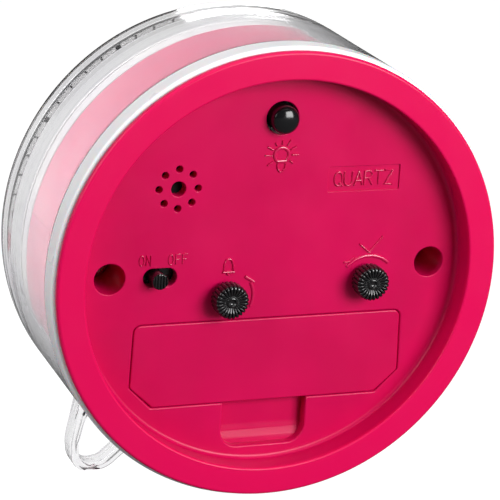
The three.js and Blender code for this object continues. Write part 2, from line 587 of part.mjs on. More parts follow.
// Seen from the front, twelve is up and the dial runs clockwise: a dial angle grows from +Z towards +X.
const dialAngle = (turn) => Math.PI / 2 - turn * 2 * Math.PI;
const HOUR_SHOWN = 10 + 9 / 60;
piece('alarm_hand', hand({
  length: 17, tail: 0, width: 1.4, hub: 4.4, bore: SLEEVE.alarm[1] + FIT, depth: HAND.alarm,
  angle: dialAngle(0.5),
}), 0xc8102e, 0.4);
piece('hour_hand', hand({
  length: 21, tail: 4, width: 2.4, hub: 3.4, bore: SLEEVE.hour[1] + FIT, depth: HAND.hour,
  angle: dialAngle(HOUR_SHOWN / 12),
}), BLACK, 0.4);
piece('minute_hand', hand({
  length: 31, tail: 5, width: 1.9, hub: 2.8, bore: SLEEVE.cannon[1] + FIT, depth: HAND.minute,
  angle: dialAngle(9 / 60),
}), BLACK, 0.4);
piece('second_hand', hand({
  length: 33, tail: 9, width: 0.8, hub: 2, bore: SLEEVE.second + FIT, depth: HAND.second,
  angle: dialAngle(32 / 60),
}), PINK, 0.4);

// ---------- standing position ----------
// Leaned back about X, then moved so that the origin is the bottom centre of the whole object's box.
clock.rotation.x = -LEAN;
clock.updateMatrixWorld(true);
const extent = new THREE.Box3().setFromObject(clock, true);
clock.position.set(0, -(extent.min.y + extent.max.y) / 2, -extent.min.z);

const alarmClock = new THREE.Group();
alarmClock.name = 'alarm_clock';
alarmClock.add(clock);

export default alarmClock;
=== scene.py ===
import json
import math
from types import SimpleNamespace

import bmesh
import bpy
from mathutils import Matrix, Vector


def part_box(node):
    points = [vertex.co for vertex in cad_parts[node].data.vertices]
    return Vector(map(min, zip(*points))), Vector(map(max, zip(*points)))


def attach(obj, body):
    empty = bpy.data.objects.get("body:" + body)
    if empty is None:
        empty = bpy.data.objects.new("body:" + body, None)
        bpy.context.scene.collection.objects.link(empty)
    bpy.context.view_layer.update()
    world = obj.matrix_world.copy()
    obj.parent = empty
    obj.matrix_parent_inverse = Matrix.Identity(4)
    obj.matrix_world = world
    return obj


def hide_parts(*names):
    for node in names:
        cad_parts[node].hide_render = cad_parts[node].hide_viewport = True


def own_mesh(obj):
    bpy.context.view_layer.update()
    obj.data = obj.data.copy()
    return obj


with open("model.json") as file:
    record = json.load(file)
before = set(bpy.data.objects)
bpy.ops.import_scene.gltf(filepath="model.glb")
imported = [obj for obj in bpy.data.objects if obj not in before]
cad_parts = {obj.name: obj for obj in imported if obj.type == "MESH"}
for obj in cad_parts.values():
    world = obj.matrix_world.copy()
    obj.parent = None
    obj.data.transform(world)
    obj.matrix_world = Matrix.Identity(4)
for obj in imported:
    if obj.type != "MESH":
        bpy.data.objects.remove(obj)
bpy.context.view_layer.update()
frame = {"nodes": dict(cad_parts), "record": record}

# ---------- the clock's frame ----------
MM = 0.001
LEAN = math.radians(10)
DRUM_START = 10.7
DRUM_END = 24.6

drum_low, drum_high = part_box("inner_drum")
drum_middle = Vector((0, -(DRUM_START + DRUM_END) / 2 * MM, 0))
tilt = Matrix.Rotation(-LEAN, 4, "X")
CLOCK = Matrix.Translation((drum_low + drum_high) / 2 - tilt @ drum_middle) @ tilt @ Matrix.Scale(MM, 4)
TO_CLOCK = CLOCK.inverted()


def at(x, z, depth):
    return Vector((x, -depth, z))


def measured(node):
    """A CAD node's box and middle in the clock's frame."""
    points = [TO_CLOCK @ vertex.co for vertex in frame["nodes"][node].data.vertices]
    x0, x1 = min(p.x for p in points), max(p.x for p in points)
    z0, z1 = min(p.z for p in points), max(p.z for p in points)
    return SimpleNamespace(
        x0=x0, x1=x1, z0=z0, z1=z1, x=(x0 + x1) / 2, z=(z0 + z1) / 2, radius=(x1 - x0) / 2,
        near=min(-p.y for p in points), far=max(-p.y for p in points),
    )


# ---------- sizes ----------
COVER = measured("rear_cover")
CASE = measured("clear_case")
LENS = measured("front_lens")
SEAL = measured("case_seal")
DIAL = measured("dial")
RING = measured("dial_ring")
BUTTON = measured("light_button")
SLIDER = measured("alarm_switch_slider")
TIME_KNOB = measured("time_knob")
ALARM_KNOB = measured("alarm_knob")
BUZZER = measured("buzzer_disc")
CELL = measured("battery_cell")

FLOOR = 5.7                # depth of the recessed floor
FLOOR_BACK = 8.1
DISH_RADIUS = 40.3
DISH_OUTER = 41.6
RIM_EDGE = 1.3             # thickness of the rim's outer edge
LIP = 0.22                 # rounding of the edges of holes

CASE_BORE = 43.5
COLLAR_BORE = 42.7
COLLAR_END = 6.5
BEZEL_BORE = 40
BEZEL_START = 29.6
LENS_BORE = 43
LENS_SEAT = 38.4
FOOT_START = 32.5
FOOT_END = 37.5
FOOT_EDGE = 0.7            # rounding of the feet's edges

SCREW_X = 33.9
SCREW_HOLE = 3.15
SCREW_SEAT = 17.3
SHAFT_HOLE = 1.6
BUTTON_HOLE = 3.35
SWITCH = SimpleNamespace(x=23.6, z=-0.2, length=6.9, height=3.8)
LABEL = SimpleNamespace(x=-18.2, z=18.4, half=7.7, rise=2.6, sunk=0.3)

DOOR_TOP = -10.07
DOOR_BOTTOM = -27.6
DOOR_BACK = 7.1
DOOR_SEAT = 7.4
DOOR_CLEARANCE = 0.12
RECESS_HALF = 9
RECESS_BOTTOM = -37.4
RECESS_BACK = 8.3
BAY = SimpleNamespace(half=27.6, top=-11.6, bottom=-26.5, end=22.9, wall=1.2)

BUSH_RADIUS = 4.6
LARGE = 224                # facets of the big turned parts
MEDIUM = 72
SMALL = 40


# ---------- outlines ----------
def rounded(points, steps=6):
    """An outline in which each (a, b, radius) corner has become an arc."""
    outline = []
    for i, point in enumerate(points):
        corner = Vector(point[:2])
        if len(point) == 2:
            outline.append(corner)
            continue
        to_last = Vector(points[i - 1][:2]) - corner
        to_next = Vector(points[(i + 1) % len(points)][:2]) - corner
        half = to_last.angle(to_next) / 2
        reach = min(point[2] / math.tan(half), 0.49 * to_last.length, 0.49 * to_next.length)
        radius = reach * math.tan(half)
        inwards = (to_last.normalized() + to_next.normalized()).normalized()
        centre = corner + inwards * (radius / math.sin(half))
        first = corner + to_last.normalized() * reach - centre
        last = corner + to_next.normalized() * reach - centre
        start = math.atan2(first.y, first.x)
        turn = (math.atan2(last.y, last.x) - start + math.pi) % (2 * math.pi) - math.pi
        for k in range(steps + 1):
            angle = start + turn * k / steps
            outline.append(centre + radius * Vector((math.cos(angle), math.sin(angle))))
    return outline


def circle(radius, x=0.0, z=0.0, facets=MEDIUM):
    turns = [2 * math.pi * i / facets for i in range(facets)]
    return [Vector((x + radius * math.cos(a), z + radius * math.sin(a))) for a in turns]


def stadium(x, z, length, height, facets=24):
    radius = height / 2
    reach = length / 2 - radius
    outline = []
    for side, start in ((1, -math.pi / 2), (-1, math.pi / 2)):
        for k in range(facets + 1):
            angle = start + math.pi * k / facets
            end = Vector((x + side * reach, z))
            outline.append(end + radius * Vector((math.cos(angle), math.sin(angle))))
    return outline


def door_outline(offset):
    half_top, half_side, half_bottom, side_z = 28.4 + offset, 28.8 + offset, 24.0 + offset, -23.1
    top, bottom = DOOR_TOP + offset, DOOR_BOTTOM - offset
    round_top = max(0.4, 1.5 + offset)
    return rounded([
        (-half_top, top, round_top), (-half_side, side_z, 0.9), (-half_bottom, bottom, 0.9),
        (half_bottom, bottom, 0.9), (half_side, side_z, 0.9), (half_top, top, round_top),
    ])


def recess_outline(offset):
    half = RECESS_HALF + offset
    corner = 3.7 + offset
    bottom = RECESS_BOTTOM - offset
    top = DOOR_BOTTOM + 1
    return rounded([(half, top), (-half, top), (-half, bottom, corner), (half, bottom, corner)], 12)


def label_outline(offset):
    half, rise = LABEL.half + offset, LABEL.rise + offset
    return rounded([
        (LABEL.x - half, LABEL.z - rise, 0.25), (LABEL.x + half, LABEL.z - rise, 0.25),
        (LABEL.x + half, LABEL.z + rise, 0.25), (LABEL.x - half, LABEL.z + rise, 0.25),
    ], 4)


# ---------- solids ----------
def skinned(sections, closed=False):
    """A solid whose skin joins sections of equally many points.

    Its ends are capped, by an empty section or by themselves, unless it is a closed ring.
    """
    bm = bmesh.new()
    rings = [[bm.verts.new(point) for point in section] for section in sections]
    pairs = list(zip(rings, rings[1:]))
    if closed:
        pairs.append((rings[-1], rings[0]))
    for near, far in pairs:
        if not near or not far:
            bm.faces.new(near or far)
            continue
        for i in range(len(near)):
            j = (i + 1) % len(near)
            bm.faces.new((near[i], near[j], far[j], far[i]))
    if rings[0] and not closed:
        bm.faces.new(rings[0])
        bm.faces.new(list(reversed(rings[-1])))
    bmesh.ops.recalc_face_normals(bm, faces=bm.faces)
    return bm


def loft(levels):
    """A solid through (outline, depth) levels of equally many points."""
    return skinned([[at(p[0], p[1], depth) for p in outline] for outline, depth in levels])


def slab(outline, near, far):
    return loft([(outline, near), (outline, far)])


def block(x0, x1, z0, z1, near, far):
    return slab([(x0, z0), (x1, z0), (x1, z1), (x0, z1)], near, far)


def turned(profile, facets=MEDIUM, x=0.0, z=0.0):
    """A solid turned about the line through (x, z). A profile that starts off that line makes a ring."""
    sections = []
    for radius, depth in profile:
        around = circle(radius, x, z, facets) if radius > 0 else []
        sections.append([at(p.x, p.y, depth) for p in around])
    return skinned(sections, closed=profile[0][0] > 0)


def rod(radius, near, far, x=0.0, z=0.0, facets=MEDIUM):
    return turned([(0, near), (radius, near), (radius, far), (0, far)], facets, x, z)


def wire(points, radius, sides=10):
    """A round wire through 3D points, with flat ends."""
    normal = (points[1] - points[0]).orthogonal().normalized()
    turns = [2 * math.pi * k / sides for k in range(sides)]
    sections = []
    for i, point in enumerate(points):
        along = (points[min(i + 1, len(points) - 1)] - points[max(i - 1, 0)]).normalized()
        normal = (normal - along * normal.dot(along)).normalized()
        side = along.cross(normal)
        sections.append([point + radius * (math.cos(a) * normal + math.sin(a) * side) for a in turns])
    return skinned(sections)


def along_x(bm, x, z, depth):
    """Turns a solid made about the depth axis so that depth runs along +X, and moves it."""
    bm.transform(Matrix.Translation(at(x, z, depth)) @ Matrix.Rotation(math.pi / 2, 4, "Z"))
    return bm


def together(*solids):
    """Several solids as one mesh."""
    whole = bmesh.new()
    for bm in solids:
        mesh = bpy.data.meshes.new("part")
        bm.to_mesh(mesh)
        bm.free()
        whole.from_mesh(mesh)
        bpy.data.meshes.remove(mesh)
    return whole


def shape(bm, name="shape"):
    """A mesh object, still in the clock's frame."""
    mesh = bpy.data.meshes.new(name)
    bm.to_mesh(mesh)
    bm.free()
    obj = bpy.data.objects.new(name, mesh)
    bpy.context.scene.collection.objects.link(obj)
    return obj


def taken(obj):
    """Takes the mesh out of an object, which goes."""
    bm = bmesh.new()
    bm.from_mesh(obj.data)
    bpy.data.objects.remove(obj)
    return bm


def bake(obj):
    """Replaces the object's mesh by the result of its modifiers."""
    depsgraph = bpy.context.evaluated_depsgraph_get()
    mesh = bpy.data.meshes.new_from_object(obj.evaluated_get(depsgraph))
    obj.modifiers.clear()
    obj.data = mesh
    return obj


def combine(obj, operation, *solids):
    """Joins, cuts or intersects the object with each solid in turn."""
    tools = [shape(bm) for bm in solids]
    for tool in tools:
        modifier = obj.modifiers.new("combine", "BOOLEAN")
        modifier.operation = operation
        modifier.solver = "EXACT"
        modifier.object = tool
    bake(obj)
    for tool in tools:
        bpy.data.objects.remove(tool)
    return obj


def bevelled(obj, width):
    """Rounds the object's sharp edges."""
    modifier = obj.modifiers.new("bevel", "BEVEL")
    modifier.width = width
    modifier.segments = 2
    modifier.limit_method = "ANGLE"
    modifier.angle_limit = math.radians(35)
    return bake(obj)


def piece(obj, name, body, node=None, slot=None, look=None, sharp=38):
    """Finishes a piece: smooth shading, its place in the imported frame, its body and its material."""
    obj.name = name
    obj.data.name = name
    obj.data.transform(CLOCK)
    obj.data.polygons.foreach_set("use_smooth", [True] * len(obj.data.polygons))
    obj.data.set_sharp_from_angle(angle=math.radians(sharp))
    weighted = obj.modifiers.new("weighted_normals", "WEIGHTED_NORMAL")
    weighted.keep_sharp = True
    weighted.weight = 80
    obj.data.materials.clear()
    obj.data.materials.append(look or MATERIALS[slot])
    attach(obj, body)
    if node:
        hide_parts(node)
    return obj


# ---------- materials ----------
def material(name):
    made = bpy.data.materials.new(name)
    made.use_nodes = True
    return made, made.node_tree.nodes, made.node_tree.links


def preset(node, values):
    """Sets a node's inputs to fixed values."""
    for key, value in values.items():
        node.inputs[key].default_value = value


def pattern(nodes, links, kind, scale, **inputs):
    """A texture node in object coordinates."""
    coordinates = nodes.new("ShaderNodeTexCoord")
    texture = nodes.new(kind)
    preset(texture, {"Scale": scale, **inputs})
    links.new(coordinates.outputs["Object"], texture.inputs["Vector"])
    return texture


def ramp(nodes, links, source, stops):
    """A colour ramp from (position, colour) stops; a number stands for a grey."""
    made = nodes.new("ShaderNodeValToRGB")
    elements = made.color_ramp.elements
    while len(elements) < len(stops):
        elements.new(0.5)
    for element, (position, colour) in zip(elements, stops):
        element.position = position
        element.color = (colour, colour, colour, 1) if isinstance(colour, (int, float)) else (*colour, 1)
    links.new(source, made.inputs["Fac"])
    return made.outputs["Color"]


def spread(nodes, links, texture, low, high, socket, margin=0.3):
    """Drives a socket by a noise texture, between a low and a high value."""
    stops = [(margin, low), (1 - margin, high)]
    links.new(ramp(nodes, links, texture.outputs["Fac"], stops), socket)


def bump(nodes, links, height, distance, strength, normal=None):
    made = nodes.new("ShaderNodeBump")
    preset(made, {"Strength": strength, "Distance": distance})
    links.new(height, made.inputs["Height"])
    if normal is not None:
        links.new(normal, made.inputs["Normal"])
    return made.outputs["Normal"]


def calculated(nodes, links, operation, first, second):
    """The clamped result of a Math node; the second input is a number or another node's output."""
    made = nodes.new("ShaderNodeMath")
    made.operation = operation
    made.use_clamp = True
    links.new(first, made.inputs[0])
    if isinstance(second, float):
        made.inputs[1].default_value = second
    else:
        links.new(second, made.inputs[1])
    return made.outputs["Value"]


def scratched(nodes, links, normal):
    """Adds hairline scratches in some places to a surface's normal."""
    streak = pattern(nodes, links, "ShaderNodeTexVoronoi", 55)
    streak.feature = "DISTANCE_TO_EDGE"
    line = ramp(nodes, links, streak.outputs["Distance"], [(0.0, 1.0), (0.006, 0.0)])
    gate = pattern(nodes, links, "ShaderNodeTexNoise", 70, Detail=1)
    shown = ramp(nodes, links, gate.outputs["Fac"], [(0.62, 0.0), (0.68, 1.0)])
    return bump(nodes, links, calculated(nodes, links, "MULTIPLY", line, shown), 0.00001, 0.35, normal)


def moulded_plastic(name, dark, light, rough, grain=0.00001, coat=0.0, scatter=0.0, scratches=False,
                    shine=0.5):
    """Moulded plastic: faint flow variation, fine grain and, where it shows wear, hairline scratches."""
    made, nodes, links = material(name)
    shader = nodes["Principled BSDF"]
    flow = pattern(nodes, links, "ShaderNodeTexNoise", 45, Detail=3, Roughness=0.55)
    spread(nodes, links, flow, dark, light, shader.inputs["Base Color"], 0.35)
    patches = pattern(nodes, links, "ShaderNodeTexNoise", 120, Detail=4, Roughness=0.6)
    spread(nodes, links, patches, *rough, shader.inputs["Roughness"])
    fine = pattern(nodes, links, "ShaderNodeTexNoise", 2600, Detail=2, Roughness=0.5)
    normal = bump(nodes, links, fine.outputs["Fac"], grain, 0.6)
    if scratches:
        normal = scratched(nodes, links, normal)
    links.new(normal, shader.inputs["Normal"])
    preset(shader, {
        "Specular IOR Level": shine, "Coat Weight": coat, "Coat Roughness": 0.12,
        "Subsurface Weight": scatter, "Subsurface Radius": (1.0, 0.2, 0.3), "Subsurface Scale": 0.0012,
    })
    return made


def blended(made, colour, axis, start, end):
    """Blends the material's colour into another one between two places along an axis, in metres."""
    nodes, links = made.node_tree.nodes, made.node_tree.links
    shader = nodes["Principled BSDF"]
    before = shader.inputs["Base Color"].links[0].from_socket
    coordinates = nodes.new("ShaderNodeTexCoord")
    place = nodes.new("ShaderNodeVectorMath")
    place.operation = "DOT_PRODUCT"
    place.inputs[1].default_value = axis
    links.new(coordinates.outputs["Object"], place.inputs[0])
    share = nodes.new("ShaderNodeMapRange")
    preset(share, {"From Min": start, "From Max": end})
    links.new(place.outputs["Value"], share.inputs["Value"])
    blend = nodes.new("ShaderNodeMix")
    blend.data_type = "RGBA"
    blend.inputs["B"].default_value = (*colour, 1)
    links.new(share.outputs["Result"], blend.inputs["Factor"])
    links.new(before, blend.inputs["A"])
    links.new(blend.outputs["Result"], shader.inputs["Base Color"])
    return made


def mixed(nodes, links, factor, first, second, output):
    """Sends a mix of two shaders to an output node: the first at factor 0, the second at factor 1."""
    mix = nodes.new("ShaderNodeMixShader")
    links.new(factor, mix.inputs["Fac"])
    links.new(first, mix.inputs[1])
    links.new(second, mix.inputs[2])
    links.new(mix.outputs["Shader"], nodes[output].inputs["Surface"])


def clear_acrylic(name, tint, haze):
    """Polished clear acrylic, with a trace of haze and moulding ripple; lamps shine through it."""
    made, nodes, links = material(name)
    shader = nodes["Principled BSDF"]
    preset(shader, {"Transmission Weight": 1.0, "IOR": 1.49})
    ripple = pattern(nodes, links, "ShaderNodeTexNoise", 60, Detail=2)
    spread(nodes, links, ripple, tint, (1.0, 1.0, 1.0), shader.inputs["Base Color"])
    spread(nodes, links, ripple, *haze, shader.inputs["Roughness"])
    links.new(bump(nodes, links, ripple.outputs["Fac"], 0.00006, 0.35), shader.inputs["Normal"])
    through = nodes.new("ShaderNodeBsdfTransparent")
    through.inputs["Color"].default_value = (0.93, 0.93, 0.94, 1)
    path = nodes.new("ShaderNodeLightPath")
    mixed(nodes, links, path.outputs["Is Shadow Ray"], shader.outputs["BSDF"], through.outputs["BSDF"],
          "Material Output")
    return made


def metal(name, dark, light, rough, scale=400, stretch=(1, 1, 1)):
    """Plated or drawn metal with fine streaks."""
    made, nodes, links = material(name)
    shader = nodes["Principled BSDF"]
    shader.inputs["Metallic"].default_value = 1.0
    streaks = pattern(nodes, links, "ShaderNodeTexNoise", scale, Detail=4, Roughness=0.65)
    mapping = nodes.new("ShaderNodeMapping")
    mapping.inputs["Scale"].default_value = stretch
    links.new(nodes["Texture Coordinate"].outputs["Object"], mapping.inputs["Vector"])
    links.new(mapping.outputs["Vector"], streaks.inputs["Vector"])
    spread(nodes, links, streaks, dark, light, shader.inputs["Base Color"])
    spread(nodes, links, streaks, *rough, shader.inputs["Roughness"])
    links.new(bump(nodes, links, streaks.outputs["Fac"], 0.000004, 0.5), shader.inputs["Normal"])
    return made


def printed_sleeve(name):
    """The cell's shrink sleeve: black, with a copper-coloured band at its plus end."""
    made, nodes, links = material(name)
    shader = nodes["Principled BSDF"]
    coordinates = nodes.new("ShaderNodeTexCoord")
    axes = nodes.new("ShaderNodeSeparateXYZ")
    links.new(coordinates.outputs["Object"], axes.inputs["Vector"])
    place = nodes.new("ShaderNodeMapRange")
    preset(place, {"From Min": CELL.x0 * MM, "From Max": CELL.x1 * MM})
    links.new(axes.outputs["X"], place.inputs["Value"])
    black, line, copper = (0.02, 0.02, 0.022), (0.75, 0.75, 0.74), (0.55, 0.23, 0.08)
    bands = ramp(nodes, links, place.outputs["Result"], [
        (0.0, black), (0.70, (0.022, 0.022, 0.025)), (0.705, line), (0.72, line), (0.725, copper),
        (1.0, (0.62, 0.27, 0.1)),
    ])
    links.new(bands, shader.inputs["Base Color"])
    smudge = pattern(nodes, links, "ShaderNodeTexNoise", 300, Detail=3)
    spread(nodes, links, smudge, 0.2, 0.32, shader.inputs["Roughness"])
    links.new(bump(nodes, links, smudge.outputs["Fac"], 0.00001, 0.4), shader.inputs["Normal"])
    shader.inputs["Coat Weight"].default_value = 0.4
    return made


PINK_DARK = (0.57, 0.0010, 0.074)
PINK_LIGHT = (0.64, 0.0018, 0.086)
# painted light: the rim's face is painted a lighter pink than the dish floor
RIM_PAINTED_LIGHT_PINK = (0.73, 0.0015, 0.088)
# painted haze: the drum's pinks are painted paler than its pink plastic, for light seen through the case wall
DRUM_PINK_PAINTED_HAZE = (0.84, 0.38, 0.46)
DRUM_PINK_PAINTED_HAZE_LIGHT = (0.88, 0.48, 0.55)
DRUM_TOP_PINK_LESS_PAINTED_HAZE = (0.66, 0.10, 0.20)
REARWARD = tilt @ Vector((0, 1, 0))
REAR_FACE = (CLOCK @ at(0, 0, 0)).dot(REARWARD)
MATERIALS = {
    "clear_plastic": clear_acrylic("clear_plastic", (0.93, 0.92, 0.955), (0.0, 0.035)),
    "lens_plastic": clear_acrylic("lens_plastic", (0.985, 0.985, 0.99), (0.0, 0.02)),
    "cell_jacket": printed_sleeve("cell_jacket"),
    "plated_steel": metal("plated_steel", (0.5, 0.5, 0.51), (0.66, 0.66, 0.67), (0.2, 0.34), 500, (1, 6, 1)),
    "brass": metal("brass", (0.62, 0.42, 0.14), (0.78, 0.56, 0.22), (0.18, 0.32), 350),
    "copper_wire": metal("copper_wire", (0.42, 0.14, 0.05), (0.6, 0.22, 0.09), (0.22, 0.36), 900, (6, 1, 1)),
    "magnet": metal("magnet", (0.16, 0.16, 0.17), (0.24, 0.24, 0.26), (0.4, 0.55), 800),
}
# Moulded finishes: name, dark and light colour, least and most roughness, and what else they need.
for name, dark, light, rough, extra in (
    ("pink_plastic", PINK_DARK, PINK_LIGHT, (0.28, 0.36),
     {"scatter": 0.08, "scratches": True, "shine": 0.28}),
    ("white_plastic", (0.80, 0.78, 0.77), (0.84, 0.83, 0.82), (0.42, 0.55), {}),
    ("dial_white", (0.86, 0.85, 0.84), (0.9, 0.89, 0.88), (0.5, 0.62), {"grain": 0.000004}),
    ("gloss_black", (0.004, 0.004, 0.005), (0.007, 0.007, 0.008), (0.13, 0.18), {"grain": 0.000002}),
    ("black_plastic", (0.005, 0.005, 0.0055), (0.009, 0.009, 0.01), (0.16, 0.24),
     {"grain": 0.000003, "shine": 0.7}),
    ("board_green", (0.012, 0.09, 0.03), (0.02, 0.13, 0.045), (0.25, 0.4), {"coat": 0.4}),
    ("lamp_lens", (0.8, 0.74, 0.5), (0.86, 0.8, 0.58), (0.18, 0.3), {"scatter": 0.3}),
    ("natural_plastic", (0.72, 0.68, 0.58), (0.78, 0.75, 0.66), (0.4, 0.55), {"scatter": 0.2}),
    ("red_paint", (0.5, 0.008, 0.02), (0.58, 0.012, 0.03), (0.25, 0.36), {"grain": 0.000003}),
    ("black_paint", (0.01, 0.01, 0.01), (0.016, 0.016, 0.017), (0.32, 0.45), {"grain": 0.000003}),
    ("pink_paint", PINK_DARK, PINK_LIGHT, (0.28, 0.38), {"grain": 0.000003}),
):
    MATERIALS[name] = moulded_plastic(name, dark, light, rough, **extra)

# These finishes are used on pieces that have another finish's slot.
# The drum's pale pink is painted haze from the case wall; it blends into a deeper pink towards the top, where
# less haze is painted.
DRUM_PAINTED_HAZE = blended(
    moulded_plastic("drum_painted_haze", DRUM_PINK_PAINTED_HAZE, DRUM_PINK_PAINTED_HAZE_LIGHT, (0.4, 0.5), scatter=0.2),
    DRUM_TOP_PINK_LESS_PAINTED_HAZE, Vector((0, 0, 1)), 0.064, 0.092,
)
# The rear cover's pink blends into a lighter pink at the rim's face: painted light on the rim, painted shade
# on the recessed floor.
COVER_PINK_PAINTED_RIM_LIGHT = blended(
    moulded_plastic("cover_pink_painted_rim_light", PINK_DARK, PINK_LIGHT, (0.28, 0.36), scatter=0.08, scratches=True,
                    shine=0.24),
    RIM_PAINTED_LIGHT_PINK, REARWARD, REAR_FACE - 1.2 * MM, REAR_FACE - 0.3 * MM,
)
MARK_PINK = moulded_plastic("mark_pink", PINK_DARK, PINK_LIGHT, (0.2, 0.28), 0.000002, shine=0.8)
FROSTED = moulded_plastic("frosted_collar", (0.86, 0.85, 0.87), (0.92, 0.91, 0.93), (0.25, 0.4), scatter=0.4)
# painted shade: the felt's black stands in for the shade in the sound holes
HOLE_SHADE_FELT = moulded_plastic("felt", (0.004, 0.004, 0.004), (0.01, 0.01, 0.01), (0.9, 1.0), 0.00006, shine=0.1)
PRINT_BLACK = moulded_plastic("print_black", (0.012, 0.012, 0.014), (0.02, 0.02, 0.022), (0.45, 0.6),
                              0.000002)
PRINT_PINK = moulded_plastic("print_pink", PINK_DARK, PINK_LIGHT, (0.45, 0.6), 0.000002)


# ---------- rear cover ----------
def flared(outline_at, end, lip=LIP, steps=4):
    """A cutter with a rounded mouth at the floor: outline_at(offset) gives its section."""
    levels = [(outline_at(lip), FLOOR - 1), (outline_at(lip), FLOOR)]
    for k in range(1, steps + 1):
        angle = math.pi / 2 * k / steps
        levels.append((outline_at(lip * (1 - math.sin(angle))), FLOOR + lip * (1 - math.cos(angle))))
    levels.append((outline_at(0), end))
    return loft(levels)


def flared_hole(radius, end, x, z, facets=MEDIUM, lip=LIP):
    return flared(lambda offset: circle(radius + offset, x, z, facets), end, lip)


def cover_shell():
    profile = rounded([
        (0, FLOOR), (DISH_RADIUS, FLOOR, 0.9), (DISH_RADIUS, 0, 0.45), (COVER.x1, 0, 0.95),
        (COVER.x1, RIM_EDGE, 0.1), (DISH_OUTER, RIM_EDGE), (DISH_OUTER, FLOOR_BACK, 0.3), (0, FLOOR_BACK),
    ])
    return shape(turned(profile, LARGE))


def finger_pocket():
    """The cutter of the finger recess, whose floor climbs in two shallow steps towards its lower edge."""
    pocket = shape(flared(recess_outline, RECESS_BACK, 0.4, steps=5))
    low, high, back = -38.6, -33.3, RECESS_BACK
    climb = [
        (high, back + 1), (high, back), (-34.6, back - 0.22), (-34.9, back - 0.24), (-36.4, back - 0.66),
        (low, back - 0.9), (low, back + 1),
    ]
    wedge = skinned([[at(x, z, depth) for z, depth in climb] for x in (-11, 11)])
    combine(pocket, "DIFFERENCE", wedge)
    return taken(pocket)


def rear_cover():
    cover = cover_shell()
    wall = BAY.wall
    inside = FLOOR_BACK - 0.5
    bay = block(-BAY.half - wall, BAY.half + wall, BAY.bottom - wall, BAY.top + wall, inside, BAY.end + wall)
    pocket = slab(recess_outline(wall), inside, RECESS_BACK + wall)
    towers = together(*(rod(SCREW_HOLE + wall, inside, SCREW_SEAT + wall, x) for x in (-SCREW_X, SCREW_X)))
    combine(cover, "UNION", bay, pocket, towers)
    through = FLOOR_BACK + 1
    buzzer_holes = [flared_hole(1.5, through, BUZZER.x, BUZZER.z, SMALL)]
    for place in circle(4, BUZZER.x, BUZZER.z, 8):
        buzzer_holes.append(flared_hole(0.72, through, place.x, place.y, 28, 0.16))
    holes = [
        flared_hole(BUTTON_HOLE, through, BUTTON.x, BUTTON.z),
        flared_hole(SHAFT_HOLE, through, TIME_KNOB.x, TIME_KNOB.z, SMALL),
        flared_hole(SHAFT_HOLE, through, ALARM_KNOB.x, ALARM_KNOB.z, SMALL),
        flared_hole(SCREW_HOLE, SCREW_SEAT, -SCREW_X, 0),
        flared_hole(SCREW_HOLE, SCREW_SEAT, SCREW_X, 0),
        flared(switch_outline, through),
        flared(label_outline, FLOOR + LABEL.sunk, 0.08),
    ]
    shanks = together(*(
        rod(SHAFT_HOLE, SCREW_SEAT - 1, SCREW_SEAT + 3, x, facets=SMALL) for x in (-SCREW_X, SCREW_X)
    ))
    combine(
        cover, "DIFFERENCE", together(*holes, *buzzer_holes), shanks,
        flared(lambda offset: door_outline(DOOR_CLEARANCE + offset), DOOR_SEAT, 0.36),
        slab(door_outline(-1.5), FLOOR, FLOOR_BACK + 0.2),
        block(-BAY.half, BAY.half, BAY.bottom, BAY.top, FLOOR_BACK - 0.1, BAY.end),
        finger_pocket(),
    )
    return piece(cover, "rear_cover_moulding", "case", "rear_cover", "pink_plastic", COVER_PINK_PAINTED_RIM_LIGHT)


def switch_outline(offset):
    return stadium(SWITCH.x, SWITCH.z, SWITCH.length + 2 * offset, SWITCH.height + 2 * offset)


# ---------- raised marks on the floor ----------
MARK_WIDTH = 0.78
MARK_HEIGHT = 0.34
LETTER_WIDTH = 0.3
LETTER_HEIGHT = 0.2


def stroke(points, closed=False, width=MARK_WIDTH, height=MARK_HEIGHT, face=FLOOR):
    """A half-round ridge along a path on the floor, or on another face."""
    path = [Vector(p) for p in points]
    count = len(path)
    sections = []
    for i, point in enumerate(path):
        last = path[i - 1] if closed or i > 0 else point
        following = path[(i + 1) % count] if closed or i < count - 1 else point
        along = (following - last).normalized()
        across = Vector((-along.y, along.x)) * (width / 2)
        section = []
        for k in range(7):
            angle = math.pi * k / 6
            spot = point + across * math.cos(angle)
            section.append(at(spot.x, spot.y, face - height * math.sin(angle)))
        for side in (-1, 1):
            spot = point + across * side
            section.append(at(spot.x, spot.y, face + 0.15))
        sections.append(section)
    return skinned(sections, closed)


def arc(x, z, radius, start, end, steps=24):
    """Points on an arc; angles in degrees from +X towards +Z."""
    turns = [math.radians(start + (end - start) * k / steps) for k in range(steps + 1)]
    return [(x + radius * math.cos(a), z + radius * math.sin(a)) for a in turns]


def mirrored(half, x):
    """A path of (reach, z) points on one side of x, and the same on the other side."""
    return [(x + reach, z) for reach, z in half] + [(x - reach, z) for reach, z in reversed(half) if reach]


def bulb_mark():
    x, z = -0.3, 23.9
    strokes = [stroke(arc(x, z, 1.5, -50, 230)), stroke([(x - 0.96, z - 1.28), (x + 0.96, z - 1.28)])]
    for angle in (0, 30, 60, 90, 120, 150, 180, 215, 325):
        turn = math.radians(angle)
        ray = Vector((math.cos(turn), math.sin(turn)))
        reach = 3.0 if angle in (60, 90, 215) else 3.5
        middle = Vector((x, z))
        strokes.append(stroke([middle + 2.15 * ray, middle + reach * ray], width=0.36))
    cup = mirrored([(-0.85, z - 1.75), (-0.8, z - 2.6), (-0.35, z - 3.4)], x)
    strokes.append(stroke(cup, width=0.36))
    return strokes


def letter_o(x, z, width, height):
    points = [(x + width / 2 * p.x, z + height / 2 * p.y) for p in circle(1, facets=24)]
    return [stroke(points, closed=True, width=LETTER_WIDTH, height=LETTER_HEIGHT)]


def letter(lines):
    return [stroke(line, width=LETTER_WIDTH, height=LETTER_HEIGHT) for line in lines]


